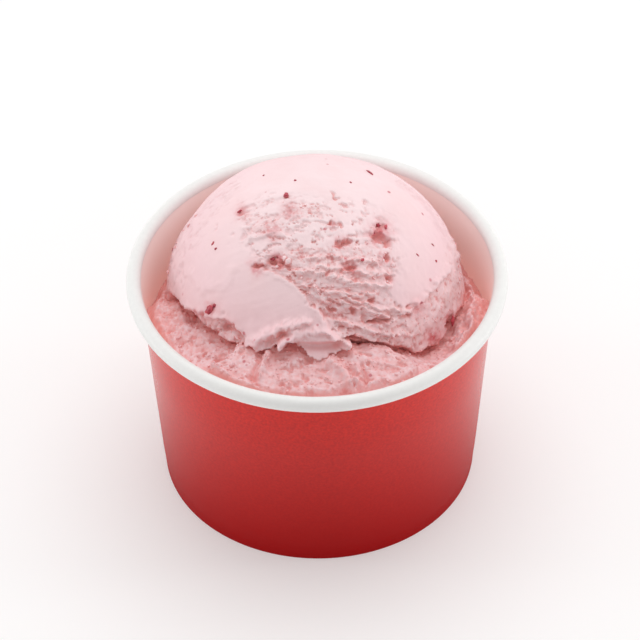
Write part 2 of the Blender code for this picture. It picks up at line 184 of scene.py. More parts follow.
# Lower edge of the upper scoop on that face, left to right, and the tongue that hangs out below it
LIP_EDGE = [
    (-38.0, 0.0), (-33.0, -4.5), (-29.0, -9.0), (-23.0, -13.0), (-18.0, -14.4), (-16.4, -13.4),
    (-14.8, -14.9), (-11.3, -14.5), (-10.1, -13.2), (-8.6, -14.8), (-7.2, -12.5), (-4.1, -12.8),
    (2.2, -12.0), (6.2, -12.7), (8.4, -12.0), (12.2, -13.2), (18.4, -14.4), (23.5, -15.2),
    (24.7, -16.8), (27.8, -15.0), (30.3, -14.7), (32.9, -11.3), (34.4, -8.8), (38.0, -4.0),
]
TONGUE = [
    (-7.8, -12.0), (-5.4, -14.4), (-2.2, -16.6), (0.0, -17.9), (3.4, -16.4), (7.5, -15.3),
    (8.6, -13.5), (6.0, -11.5), (-2.0, -11.0),
]

# Folds of the tongue, as the strokes above
TONGUE_FOLDS = [
    (1.3, 0.9, [(3.0, -11.0), (5.5, -11.9), (7.8, -13.6), (7.4, -14.8)]),
    (-1.9, 1.3, [(-5.2, -13.7), (-1.0, -14.5), (3.0, -14.3), (5.2, -13.6)]),
    (0.4, 0.5, [(-5.0, -15.0), (-2.2, -16.4), (0.3, -17.4), (4.2, -16.4), (7.4, -15.2)]),
    (0.5, 0.6, [(-7.2, -12.2), (-3.6, -12.6), (0.4, -12.4), (4.0, -12.4)]),
]

# Fruit on that face: across, up, radius along, radius over, turn in degrees, all but the turn in mm
FRUIT = [
    (-25.1, -4.8, 0.85, 1.25, -12),
    (-23.9, -3.6, 0.7, 0.5, 20),
    (-6.8, 22.2, 0.8, 0.5, 15),
    (-4.7, 26.0, 0.28, 0.28, 0),
    (13.4, 28.5, 1.1, 0.38, -18),
    (-18.0, 18.7, 0.32, 0.55, 0),
    (-24.4, 11.2, 0.25, 0.45, 25),
    (-23.7, 9.9, 0.25, 0.35, 0),
    (-34.9, 10.2, 0.5, 0.6, 0),
    (15.2, 15.6, 0.8, 0.45, 50),
    (16.8, 14.6, 0.6, 0.35, 20),
    (14.0, 13.2, 0.5, 0.3, 0),
    (32.6, -7.8, 0.6, 1.3, -14),
    (33.8, -9.8, 0.4, 0.9, 10),
    (-10.4, 7.4, 0.6, 0.4, -10),
    (10.8, 6.6, 0.4, 0.3, 0),
    (28.4, 10.4, 0.2, 0.5, 12),
    (29.0, 6.4, 0.25, 0.3, 0),
    (24.4, 7.8, 0.15, 0.5, 5),
    (-12.4, 27.8, 0.25, 0.2, 0),
    (8.6, 25.6, 0.3, 0.2, 0),
]

# Raised slab in the front of the lower scoop, in mm from the cup's axis
SLAB = [
    (-27.9, -31.1), (-19.1, -24.7), (-10.4, -24.0), (3.4, -24.0), (21.0, -27.0), (24.6, -30.4),
    (23.8, -33.8), (15.9, -38.0), (-4.0, -41.5), (-19.0, -38.6),
]
# Height of the lower scoop's top above the upper one's middle, in mm, by degrees right of the front
BED_TOP = [
    (-180, -4.0), (-104, -4.0), (-93, -3.0), (-85, 0.5), (-77, 3.6), (-66, 3.8), (-42, 4.6), (-20, 5.4),
    (10, 5.4), (38, 4.2), (54, 3.0), (68, 3.6), (76, 4.2), (85, 2.0), (93, -3.0), (180, -4.0),
]
# The same where it meets the upper scoop's side
BED_SIDE = [
    (-180, -5.0), (-104, -4.0), (-93, -3.0), (-85, 1.0), (-77, 4.5), (-67, 6.4), (-54, 7.0), (-40, 7.5),
    (-31, 8.4), (-20, 9.2), (15, 9.2), (28, 8.4), (36, 6.0), (44, 2.2), (55, 1.0), (66, 1.6), (76, 3.4),
    (85, 1.5), (93, -4.0), (180, -5.0),
]
# Ridges and furrows of the lower scoop's top, as the strokes above, in mm from the cup's axis
BED_STROKES = [
    (0.9, 0.8, [(-11.3, -27.6), (-12.8, -31.5), (-13.8, -36.3)]),
    (-0.6, 0.7, [(-12.9, -28.4), (-14.6, -32.0), (-15.6, -36.0)]),
    (0.9, 1.1, [(3.2, -33.8), (6.0, -35.4), (8.0, -38.6)]),
    (0.8, 0.7, [(8.9, -33.6), (9.8, -35.8), (9.6, -38.2)]),
    (-0.7, 0.6, [(10.6, -33.0), (11.4, -36.0), (11.2, -38.6)]),
    (0.7, 0.7, [(-26.0, -30.0), (-21.0, -35.4), (-15.0, -39.0), (-8.0, -41.4)]),
    (1.4, 1.1, [(38.6, -1.0), (38.2, -9.0), (36.6, -15.0), (33.6, -20.6)]),
    (-0.5, 0.5, [(40.2, -4.0), (39.2, -11.0), (37.2, -17.6)]),
]
# Cavities in it: across, back, size and depth
BED_PITS = [
    (-24.4, -27.3, 1.3, 1.4), (-22.8, -26.9, 0.8, 1.1), (-27.5, -24.0, 0.9, 1.0), (12.6, -33.0, 0.9, 1.0),
    (-3.5, -36.4, 0.9, 0.9), (16.0, -36.8, 0.7, 0.8), (-9.0, -38.0, 0.8, 0.8), (-31.0, -18.0, 1.0, 1.0),
]
# Height of the upper scoop's skirt above its middle, in the same terms
SKIRT = [
    (-180, -7.0), (-100, -5.0), (-60, -2.5), (-45, 0.5), (-33, 6.5), (-26, 8.6), (0, 9.0), (22, 9.0),
    (33, 6.0), (43, 1.5), (57, -1.0), (72, -1.0), (95, -4.5), (180, -7.0),
]

# How much stronger the strokes are made than their tables say, and how much larger the fruit
STROKE_GAIN = 1.8
BED_STROKE_GAIN = 1.6
FRUIT_GAIN = 1.15

# Share of the upper scoop's rings on its near part, and how far the near and far parts reach, in degrees
NEAR_RINGS = 0.74
NEAR_REACH = 97.0
FAR_REACH = 82.0

# Level distance from the scoop's axis where the lower scoop's top starts, hidden under the upper one
BED_START = 25.0 * MM
# Where a strip of the lower scoop's side is placed, as a share of the way down
SIDE_SHARES = (0.04, 0.15, 0.5, 1.0)
# Gap between the ice cream and the cup's wall
WALL_GAP = 0.15 * MM
# Mean radius of a loose crumb
CRUMB_SIZE = 0.20 * MM
# Thickness of a modelled skin of paper, as a share of the board, and a rim's inner size as a share
SKIN_SHARE = 0.5
RIM_INNER = 0.78
# How far the wrap's end stands out at the seam
SEAM_LIFT = 0.32 * MM

# Heights above the upper scoop's middle where the painted highlight on its top starts and where it is
# strongest
HIGHLIGHT_START = 17.0 * MM
HIGHLIGHT_FULL = 31.0 * MM
# How near to each other two surfaces must be to take on the painted shade of a corner
CORNER_SHADE_REACH = 4.0 * MM
STAIN_RED = (0.66, 0.11, 0.13, 1.0)
SPECK_RED = (0.58, 0.10, 0.13, 1.0)
PALER_FRUIT = (0.62, 0.10, 0.13, 1.0)

# Softboxes: name, place and width in metres, the setting with its watts and its share of them
SOFTBOXES = [
    ("softbox_top", (0.05, 0.25, 0.95), 0.9, "top_light", 1.0),
    ("softbox_left", (-0.9, 0.05, 0.14), 0.24, "side_light", 0.85),
    ("softbox_right", (0.9, 0.05, 0.14), 0.24, "side_light", 1.0),
]
SOFTBOX_AIM = (0.0, 0.0, 0.03)


class CupSettings(PropertyGroup):
    height: FloatProperty(name="Height", description="Rim top", default=0.0617, unit="LENGTH")
    rim_radius: FloatProperty(
        name="Rim radius", description="Outer radius of the rolled rim", default=0.0475, unit="LENGTH"
    )
    rim_width: FloatProperty(
        name="Rim width", description="Rim's size across", default=0.0037, unit="LENGTH"
    )
    rim_depth: FloatProperty(
        name="Rim depth", description="Rim's size upward", default=0.0039, unit="LENGTH"
    )
    top_radius: FloatProperty(
        name="Top radius", description="Outside of the wall under the rim", default=0.0441, unit="LENGTH"
    )
    foot_radius: FloatProperty(
        name="Foot radius", description="Outside of the wall at the foot", default=0.0399, unit="LENGTH"
    )
    paper: FloatProperty(
        name="Paper", description="Thickness of the board", default=0.0005, unit="LENGTH"
    )
    crease: FloatProperty(
        name="Crease height", description="Top of the folded hem", default=0.0052, unit="LENGTH"
    )
    hem_set: FloatProperty(
        name="Hem set", description="How far the hem is drawn in", default=0.00010, unit="LENGTH"
    )
    seam_width: FloatProperty(
        name="Seam width", description="Overlap at the back", default=0.008, unit="LENGTH"
    )
    segments: IntProperty(name="Segments", description="Steps round the cup", default=360)
    # Painted glow: emission of the lining, standing in for light through the board
    glow: FloatProperty(name="Glow", description="Light that comes through the board", default=0.12)
    red: FloatVectorProperty(
        name="Red print", description="Printed side", subtype="COLOR", size=4,
        default=(0.810, 0.0180, 0.0085, 1.0),
    )
    # Darker red: painted shade towards the foot, also the tone of the print's grain
    red_shade_and_grain: FloatVectorProperty(
        name="Red print at the foot", description="Printed side, low", subtype="COLOR", size=4,
        default=(0.370, 0.0030, 0.0040, 1.0),
    )
    white: FloatVectorProperty(
        name="White", description="Rim", subtype="COLOR", size=4, default=(0.90, 0.895, 0.88, 1.0)
    )
    # Lining colours are painted light: paler near the rim where it is lit, pinker lower down with light
    # through the red print and off the ice cream
    lining_high: FloatVectorProperty(
        name="Lining at the rim", description="Inner side, high", subtype="COLOR", size=4,
        default=(0.95, 0.84, 0.80, 1.0),
    )
    lining_low: FloatVectorProperty(
        name="Lining lower down", description="Inner side, low", subtype="COLOR", size=4,
        default=(0.96, 0.72, 0.65, 1.0),
    )


class ScoopSettings(PropertyGroup):
    centre: FloatVectorProperty(
        name="Centre", description="Middle of the upper scoop", size=3, subtype="TRANSLATION",
        default=(-0.0002, 0.0045, 0.0511),
    )
    radius: FloatProperty(
        name="Radius", description="Upper scoop, level", default=0.0363, unit="LENGTH"
    )
    half_height: FloatProperty(
        name="Half height", description="Upper scoop, upright", default=0.0306, unit="LENGTH"
    )
    hollow: FloatProperty(
        name="Hollow", description="Depth of the seat below its middle", default=0.016, unit="LENGTH"
    )
    face_tilt: FloatProperty(
        name="Face tilt", description="Torn face above the horizon", subtype="ANGLE",
        default=math.radians(42.8),
    )
    skin: FloatProperty(
        name="Skin", description="Thickness of the smooth skin", default=0.0009, unit="LENGTH"
    )
    lip: FloatProperty(
        name="Lip", description="How far the lower edge flares", default=0.0019, unit="LENGTH"
    )
    tongue: FloatProperty(
        name="Tongue", description="How far the tongue stands out", default=0.0024, unit="LENGTH"
    )
    around: IntProperty(name="Around", description="Points round the upper scoop", default=400)
    rings: IntProperty(name="Rings", description="Rings on the upper scoop", default=248)
    bed_around: IntProperty(name="Bed around", description="Points round the lower scoop", default=840)
    bed_rings: IntProperty(name="Bed rings", description="Rings on the lower scoop", default=104)
    crumbs: IntProperty(name="Crumbs", description="Loose crumbs on each scoop", default=600)
    skin_pink: FloatVectorProperty(
        name="Skin", description="Smooth skin", subtype="COLOR", size=4, default=(0.900, 0.620, 0.650, 1.0)
    )
    torn_pink: FloatVectorProperty(
        name="Torn", description="Torn ice cream", subtype="COLOR", size=4,
        default=(0.920, 0.630, 0.640, 1.0),
    )
    # Painted shade colour for the bottom of the pits
    pit_shade_pink: FloatVectorProperty(
        name="Pits", description="Bottom of the pits", subtype="COLOR", size=4,
        default=(0.71, 0.20, 0.20, 1.0),
    )
    # Painted shade colour where surfaces meet
    corner_shade_pink: FloatVectorProperty(
        name="Corners", description="Where surfaces meet", subtype="COLOR", size=4,
        default=(0.88, 0.42, 0.40, 1.0),
    )
    # Painted highlight colour, for the top and the crests
    highlight_pink: FloatVectorProperty(
        name="Frosted", description="Palest, on top", subtype="COLOR", size=4,
        default=(0.965, 0.765, 0.785, 1.0),
    )
    wet_pink: FloatVectorProperty(
        name="Wet", description="Melted ice cream by the wall", subtype="COLOR", size=4,
        default=(0.865, 0.375, 0.355, 1.0),
    )
    fruit_red: FloatVectorProperty(
        name="Fruit", description="Bits of strawberry", subtype="COLOR", size=4,
        default=(0.33, 0.012, 0.035, 1.0),
    )


class StudioSettings(PropertyGroup):
    lens: FloatProperty(name="Lens", description="Focal length in mm", default=201.6)
    distance: FloatProperty(
        name="Distance", description="Camera to the point it looks at", default=0.900, unit="LENGTH"
    )
    aim: FloatVectorProperty(
        name="Aim", description="Point the camera looks at", size=3, subtype="TRANSLATION",
        default=(0.00058, 0.0, 0.04497),
    )
    elevation: FloatProperty(
        name="Elevation", description="Camera above the horizon", subtype="ANGLE",
        default=math.radians(42.82),
    )
    roll: FloatProperty(
        name="Roll", description="Camera's turn about its own line", subtype="ANGLE",
        default=math.radians(-0.779),
    )
    floor_size: FloatProperty(
        name="Floor size", description="Width of the floor", default=6.0, unit="LENGTH"
    )
    floor_colour: FloatVectorProperty(
        name="Floor", description="Floor", subtype="COLOR", size=4, default=(0.70, 0.70, 0.70, 1.0)
    )
    ambient: FloatProperty(name="Ambient", description="Strength of the white surroundings", default=0.78)
    ambient_front: FloatProperty(name="Front", description="The same towards the viewer", default=0.44)
    top_light: FloatProperty(name="Top light", description="Softbox overhead, watts", default=3.2)
    side_light: FloatProperty(name="Side light", description="Softbox at each side, watts", default=1.5)
    floor_glow: FloatProperty(
        name="Floor glow", description="Light that comes through the floor", default=0.31
    )


def smooth_step(value, low, high):
    share = np.clip((value - low) / (high - low), 0.0, 1.0)
    return share * share * (3.0 - 2.0 * share)


def fractal(points, size, octaves, shift=0.0, fade=1.0):
    """Noise from about -1 to 1 with bumps up to about size across. A low fade keeps small ones strong."""
    scaled = (points / size + shift).tolist()
    return np.array([noise.fractal(p, fade, 2.0, octaves) for p in scaled])


def ridged(points, size, octaves, shift=0.0, fade=1.0):
    """Noise with sharp crests, from about -1 to 1."""
    scaled = (points / size + shift).tolist()
    return np.array([noise.ridged_multi_fractal(p, fade, 2.0, octaves, 1.0, 2.0) for p in scaled]) - 1.1


def pores(points, size, shift=0.0):
    """Round holes: 1 in the middle of a hole and 0 between holes."""
    scaled = (points / size + shift).tolist()
    nearest = np.array([noise.voronoi(p)[0][0] for p in scaled])
    return 1.0 - smooth_step(nearest, 0.10, 0.42)


def outline_depth(across, up, corners):
    """How deep points lie inside an outline: positive inside and negative outside, as a distance."""
    nearest = np.full(across.shape, 1e9)
    inside = np.zeros(across.shape, bool)
    for (x0, y0), (x1, y1) in zip(corners, corners[1:] + corners[:1]):
        nearest = np.minimum(nearest, line_distance(across, up, x0, y0, x1, y1))
        crosses = (y0 > up) != (y1 > up)
        side = x0 + (up - y0) * (x1 - x0) / (y1 - y0 if y1 != y0 else 1e-9)
        inside ^= crosses & (across < side)
    return np.where(inside, nearest, -nearest)


def line_distance(across, up, x0, y0, x1, y1):
    """Distance of points to the piece of line between two places."""
    length = (x1 - x0) ** 2 + (y1 - y0) ** 2
    share = ((across - x0) * (x1 - x0) + (up - y0) * (y1 - y0)) / max(length, 1e-12)
    share = np.clip(share, 0.0, 1.0)
    return np.hypot(across - x0 - share * (x1 - x0), up - y0 - share * (y1 - y0))


def stroke(across, up, width, line):
    """1 along a line and 0 away from it."""
    nearest = np.full(across.shape, 1e9)
    for (x0, y0), (x1, y1) in zip(line, line[1:]):
        nearest = np.minimum(nearest, line_distance(across, up, x0, y0, x1, y1))
    return np.exp(-((nearest / width) ** 2))


def pit_share(across, up, pit):
    """1 in the middle of a pit and 0 at its edge."""
    centre_across, centre_up, half_length, half_width, turn, _ = pit
    angle = math.radians(turn)
    along = (across - centre_across) * math.cos(angle) + (up - centre_up) * math.sin(angle)
    over = (up - centre_up) * math.cos(angle) - (across - centre_across) * math.sin(angle)
    return 1.0 - smooth_step(np.hypot(along / half_length, over / half_width), 0.45, 1.05)


def by_longitude(table, longitude):
    """Reads a table of degrees and mm, in metres."""
    degrees, heights = zip(*table)
    return np.interp(np.degrees(longitude), degrees, heights) * MM


def face_places(points, tilt):
    """Splits points, measured from the scoop's middle, into mm across, up and out of the face."""
    across = points[:, 0] / MM
    up = (points[:, 1] * math.sin(tilt) + points[:, 2] * math.cos(tilt)) / MM
    out = (points[:, 2] * math.sin(tilt) - points[:, 1] * math.cos(tilt)) / MM
    return across, up, out


def seat_radius(directions, scoop):
    """Distance from the scoop's middle to the bowl that its underside follows."""
    longitude = np.arctan2(directions[:, 0], -directions[:, 1])
    level = np.maximum(np.hypot(directions[:, 0], directions[:, 1]), 1e-6)
    slope = directions[:, 2] / level
    skirt = by_longitude(SKIRT, longitude)
    reach = scoop.radius * np.sqrt(1.0 - (skirt / scoop.half_height) ** 2)
    bend = (skirt + scoop.hollow) / reach**2
    root = np.sqrt(slope**2 + 4.0 * bend * scoop.hollow)
    return 2.0 * scoop.hollow / (root - slope) / level


def torn_depth(points, across, up, out):
    """How deep points lie inside the nearest tear, in mm, and that tear's share of the skin."""
    ragged = 1.1 * fractal(points, 5.0 * MM, 4) + 0.45 * fractal(points, 1.3 * MM, 3, shift=5.0)
    depth = np.full(across.shape, -99.0)
    share = np.zeros(across.shape)
    thick = 0.10 + 0.90 * smooth_step(-0.5 * across - 0.8 * up, -5.0, 3.0)
    for outline, skin_share, broken in TEARS:
        here = outline_depth(across, up, outline) + broken * ragged - 0.9 * (broken - 1.0)
        share = np.where(here > depth, skin_share * thick, share)
        depth = np.maximum(depth, here)
    behind = 12.0 * (fractal(points, 26.0 * MM, 2, shift=3.0) - 0.16) + 0.6 * ragged
    behind = np.minimum(behind, -out - 4.0)
    share = np.where(out > 0.0, share, 0.8)
    return np.where(out > 0.0, depth, behind), share


def upper_surface(directions, scoop):
    """Along directions: the upper scoop's distance from its middle, how torn, how sunk in mm with painted
    shade under the lip added, how stained.
    """
    level = np.hypot(directions[:, 0], directions[:, 1])
    plain = 1.0 / np.hypot(level / scoop.radius, directions[:, 2] / scoop.half_height)
    points = directions * plain[:, None]
    across, up, out = face_places(points * (1.0 + scoop.skin / scoop.radius), scoop.face_tilt)
    bent_across = across + 0.8 * fractal(points, 2.2 * MM, 4, shift=21.0, fade=0.7)
    bent_up = up + 0.8 * fractal(points, 2.2 * MM, 4, shift=31.0, fade=0.7)
    facing = smooth_step(out, 0.0, 4.0)
    depth, share = torn_depth(points, across, up, out)
    torn = smooth_step(depth, -0.05, 0.45)
    fine = torn * np.clip(share * 1.6, 0.65, 1.0) * torn_relief(points)
    fine += (1.0 - torn) * facing * scuff_relief(points, across, up)
    for pit in PITS:
        fine -= pit[5] * pit_share(bent_across, bent_up, pit) * facing
    relief = 0.70 * fractal(points, 24.0 * MM, 2) + fine
    relief += (1.0 - torn * share) * scoop.skin / MM
    relief += (1.0 - torn) * skin_relief(points, depth, share)
    for height, width, line in STROKES:
        relief += STROKE_GAIN * height * stroke(bent_across, bent_up, width, line) * facing
    seat = np.minimum(plain + relief * MM, seat_radius(directions, scoop))
    front, lip_shade = lip_surface(points, across, up, plain, relief, seat, scoop)
    stained = stain_share(bent_across, bent_up) * facing
    return seat + (front - seat) * facing, torn, lip_shade * facing - fine, stained


def stain_share(across, up):
    """How strongly fruit has coloured the ice cream."""
    share = np.zeros(across.shape)
    for centre_across, centre_up, size, strength in STAINS:
        away = np.hypot(across - centre_across, up - centre_up) / size
        share = np.maximum(share, strength * np.exp(-(away**2)))
    return share


def leaned(points, degrees, stretch):
    """Turns points about the line towards the viewer and draws them out along the turned level."""
    lean = np.array(Matrix.Rotation(math.radians(degrees), 3, "Y"))
    return points @ lean * np.array([stretch, 1.0, 1.0])


def skin_relief(points, depth, share):
    """Faint waves, scrapes, cracks and pinholes of the smooth skin, and its rolled edge by a tear, in mm."""
    waves = 0.15 * fractal(points, 8.0 * MM, 3, shift=2.0) + 0.03 * fractal(points, 1.4 * MM, 3)
    scrapes = 0.07 * ridged(leaned(points, -24.0, 0.2), 3.5 * MM, 3, shift=27.0)
    some = smooth_step(fractal(points, 12.0 * MM, 2, shift=19.0), 0.12, 0.4)
    holes = pores(points, 3.1 * MM, shift=9.0) ** 6 * some
    edge = np.exp(-(((depth + 0.45) / 0.5) ** 2))
    cracks = smooth_step(ridged(points, 9.0 * MM, 3, shift=71.0), 0.45, 0.75) * some
    return waves + scrapes - 0.35 * holes - 0.30 * cracks + 0.20 * edge * share


def torn_relief(points):
    """Strands, crumbs and cavities of the torn ice cream, in mm."""
    drift = 0.5 * MM * fractal(points, 4.0 * MM, 3, shift=51.0)[:, None]
    strands = leaned(points + drift, 9.0, 0.34)
    relief = 0.30 * ridged(strands, 2.8 * MM, 5, fade=0.85)
    relief += 0.20 * fractal(points, 1.3 * MM, 4, shift=4.0, fade=0.6)
    relief -= 0.45 * smooth_step(fractal(strands, 2.0 * MM, 4, shift=8.0, fade=0.8), 0.22, 0.55)
    return relief - 0.50 * smooth_step(fractal(points, 3.6 * MM, 4, shift=61.0, fade=0.8), 0.30, 0.52)


def scuff_relief(points, across, up):
    """Small crumbs and nicks round the tears, where the skin is rubbed but not torn off, in mm."""
    share = np.zeros(across.shape)
    for outline, strength in SCUFFS:
        share = np.maximum(share, strength * smooth_step(outline_depth(across, up, outline), -1.5, 2.5))
    nicks = smooth_step(fractal(leaned(points, 14.0, 0.6), 2.4 * MM, 5, shift=23.0, fade=0.6), 0.16, 0.42)
    return share * (0.14 * fractal(points, 1.2 * MM, 3, shift=24.0, fade=0.6) - 0.55 * nicks)


def lip_surface(points, across, up, plain, relief, seat, scoop):
    """The front of the upper scoop: its flared lower edge, what recedes below it and the tongue, and painted
    shade under the edge and in the tongue's folds.
    """
    grown = 1.0 + (scoop.lip + 0.5 * scoop.tongue) / 2.0 / scoop.radius
    across, up = across * grown, up * grown
    edge_across, edge_up = zip(*LIP_EDGE)
    edge = np.interp(across, edge_across, edge_up)
    ragged = 0.45 * fractal(points, 1.8 * MM, 4, shift=7.0, fade=0.7)
    above = up - edge + ragged
    strength = smooth_step(across, -19.0, -15.0) * (1.0 - 0.62 * smooth_step(across, 5.0, 9.0))
    flare = scoop.lip / MM * (0.12 + 0.88 * strength) * np.exp(-np.maximum(above, 0.0) / 3.2)
    below = smooth_step(-above, 0.0, 0.35)
    high = plain + (relief + flare) * MM
    low = np.minimum(plain + (relief - 0.6 + 1.1 * np.minimum(above, 0.0)) * MM, seat)
    inside = outline_depth(across, up, TONGUE) + ragged
    tongue = smooth_step(inside, 0.0, 0.4)
    folds = 0.30 * fractal(points, 2.4 * MM, 4, shift=17.0, fade=0.8)
    for height, width, line in TONGUE_FOLDS:
        folds += height * stroke(across, up, width, line)
    hung = plain + scoop.tongue + folds * MM
    surface = low + (hung - low) * tongue
    # Painted shade: colour darkened under the lip's edge and in the tongue's hollow folds
    sunk = below * (tongue * np.maximum(-0.55 * folds, 0.0) + (1.0 - tongue) * 0.5)
    return surface + (high - surface) * (1.0 - below), sunk


def ring_directions(away, around, tilt):
    """Unit vectors in rings, as (ring, around, 3), at angles from an axis that leans to the front by tilt."""
    turns = math.tau * (np.arange(around) + 0.5) / around - math.pi
    away, turns = np.meshgrid(away, turns, indexing="ij")
    upright = np.stack([np.sin(away) * np.sin(turns), -np.sin(away) * np.cos(turns), np.cos(away)], axis=2)
    lean = np.array(Matrix.Rotation(tilt, 3, "X"))
    return upright @ lean.T


def face_grid(scoop):
    """The upper scoop's surface in rings about the torn face's middle, which are closest on its near half."""
    near = int(scoop.rings * NEAR_RINGS)
    far = scoop.rings - near
    front = (np.arange(near) + 0.5) / near * math.radians(NEAR_REACH)
    back = math.radians(NEAR_REACH) + (np.arange(far) + 0.5) / far * math.radians(FAR_REACH)
    away = np.concatenate([front, back])
    directions = ring_directions(away, scoop.around, math.pi / 2.0 - scoop.face_tilt)
    radius, torn, sunk, stained = upper_surface(directions.reshape(-1, 3), scoop)
    grid = directions.shape[:2]
    area = np.broadcast_to(np.sin(away)[:, None] * np.gradient(away)[:, None], grid)
    layers = [layer.reshape(grid) for layer in (sunk, torn, stained)]
    return directions * radius.reshape(grid)[..., None], layers, area


def lower_half(scoop):
    """The upper scoop's surface below its shoulder, in rings about the upright axis."""
    away = np.linspace(math.radians(58.0), math.radians(178.0), scoop.bed_rings)
    directions = ring_directions(away, scoop.bed_around, 0.0)
    radius = upper_surface(directions.reshape(-1, 3), scoop)[0]
    return directions * radius.reshape(directions.shape[:2])[..., None]


def cone_radius(height, cup):
    """Outer radius of the cup's plain wall at a height above the foot."""
    share = height / (cup.height - cup.rim_depth)
    return cup.foot_radius + (cup.top_radius - cup.foot_radius) * share


def wall_distance(turns, height, cup, scoop):
    """Level distance from the scoop's axis to the cup's inner wall."""
    radius = cone_radius(height, cup) - cup.paper - WALL_GAP
    along = scoop.centre[0] * np.sin(turns) - scoop.centre[1] * np.cos(turns)
    square = scoop.centre[0] ** 2 + scoop.centre[1] ** 2
    return np.sqrt(along**2 - square + radius**2) - along


def lowest_of_upper(points, distances):
    """Height where the upper scoop is first met on the way up, for (ring, around) level distances."""
    level = np.hypot(points[..., 0], points[..., 1])
    height = points[..., 2]
    lowest = np.full(distances.shape, 1.0)
    for ring in range(len(points) - 1):
        start, end = level[ring], level[ring + 1]
        between = (np.minimum(start, end) <= distances) & (distances <= np.maximum(start, end))
        width = np.where(np.abs(end - start) < 1e-7, 1e-7, end - start)
        low = height[ring] + (height[ring + 1] - height[ring]) * (distances - start) / width
        lowest = np.where(between & (low < lowest), low, lowest)
    return lowest


def bed_grid(cup, scoop):
    """The lower scoop's top: points from the upper one's middle, how wet they are and how sunk, in mm."""
    turns = math.tau * (np.arange(scoop.bed_around) + 0.5) / scoop.bed_around - math.pi
    lowest = scoop.centre[2] + by_longitude(BED_TOP, turns) - 4.0 * MM
    wall = wall_distance(turns, lowest, cup, scoop)
    outward = np.linspace(0.0, 1.0, scoop.bed_rings)[:, None]
    distances = BED_START + (wall[None, :] - BED_START) * outward
    angle = np.broadcast_to(turns, distances.shape)
    places = np.stack([np.sin(angle) * distances, -np.cos(angle) * distances, 0.0 * distances], axis=2)
    gap = np.broadcast_to(wall, distances.shape) - scoop.radius
    to_wall = np.broadcast_to(wall, distances.shape) - distances
    flat = places.reshape(-1, 3)
    relief, wet, sunk = bed_relief(flat, angle.ravel(), to_wall.ravel() / MM, scoop)
    inward = np.clip(to_wall / gap, 0.0, 1.0).ravel()
    far = by_longitude(BED_TOP, angle.ravel())
    top = far + (by_longitude(BED_SIDE, angle.ravel()) - far) * inward + relief * MM
    limit = lowest_of_upper(lower_half(scoop), distances + 0.5 * MM)
    places[..., 2] = np.minimum(top.reshape(distances.shape), limit)
    return places, wet.reshape(distances.shape), sunk.reshape(distances.shape), turns


def bed_relief(places, turns, to_wall, scoop):
    """Lumps, slab, crumbs and cavities of the lower scoop's top, in mm, and where it has melted."""
    degrees = np.degrees(np.abs(turns))
    side = smooth_step(degrees, 46.0, 66.0)
    wet = side * 0.75 + (1.0 - smooth_step(to_wall, 0.2, 1.7)) * (1.0 - side)
    wet = np.clip(wet + 0.35 * fractal(places, 7.0 * MM, 2, shift=41.0), 0.0, 1.0)
    warp = 1.0 * fractal(places, 4.0 * MM, 4, shift=13.0, fade=0.7)
    across = places[:, 0] / MM + scoop.centre[0] / MM + warp
    back = places[:, 1] / MM + scoop.centre[1] / MM - warp
    slab = smooth_step(outline_depth(across, back, SLAB), -0.3, 0.9)
    relief = 0.9 * fractal(places, 8.0 * MM, 2, shift=11.0) + 2.3 * slab - 0.9
    for height, width, line in BED_STROKES:
        relief += BED_STROKE_GAIN * height * stroke(across, back, width, line)
    drag = places * np.array([0.6, 1.0, 1.0])
    rough = 0.28 * ridged(drag, 2.6 * MM, 5, shift=12.0, fade=0.85)
    rough += 0.18 * fractal(places, 1.2 * MM, 4, shift=14.0, fade=0.6)
    rough -= 0.60 * smooth_step(fractal(drag, 2.6 * MM, 5, shift=15.0, fade=0.8), 0.24, 0.50)
    for centre_across, centre_back, size, depth in BED_PITS:
        away = np.hypot(across - centre_across, back - centre_back) / size
        rough -= depth * (1.0 - smooth_step(away, 0.4, 1.1))
    rough *= 1.0 - 0.7 * wet
    knobs = 1.3 * fractal(places, 4.0 * MM, 4, shift=18.0, fade=0.8)
    shoulder = (1.0 - smooth_step(to_wall, 0.0, 3.0)) * side * 3.2
    return relief + rough + side * knobs - shoulder, wet, -rough


def grid_faces(rings, around, bands):
    """Four-sided faces of a number of bands between rings of points. The last ring's next is the first."""
    ring, step = np.meshgrid(np.arange(bands), np.arange(around), indexing="ij")
    start, after = ring * around, (ring + 1) % rings * around
    beside = (step + 1) % around
    corners = [start + step, after + step, after + beside, start + beside]
    return np.stack([c.ravel() for c in corners], axis=1)


def build_grid(name, grid, top, bottom):
    """Makes a closed skin of a (ring, around, 3) grid and a point at each end."""
    rings, around = grid.shape[:2]
    verts = np.concatenate([grid.reshape(-1, 3), [top], [bottom]])
    quads = grid_faces(rings, around, rings - 1).tolist()
    first = rings * around
    turn = [(first, s, (s + 1) % around) for s in range(around)]
    last = (rings - 1) * around
    turn += [(first + 1, last + (s + 1) % around, last + s) for s in range(around)]
    obj = new_piece(name, verts, quads + turn)
    obj.data.shade_smooth()
    return obj


def new_piece(name, verts, faces):
    """Makes an object of points and faces and puts it in the scene."""
    mesh = bpy.data.meshes.new(name)
    mesh.from_pydata(verts.tolist(), [], faces)
    mesh.update()
    obj = bpy.data.objects.new(name, mesh)
    bpy.context.scene.collection.objects.link(obj)
    return obj


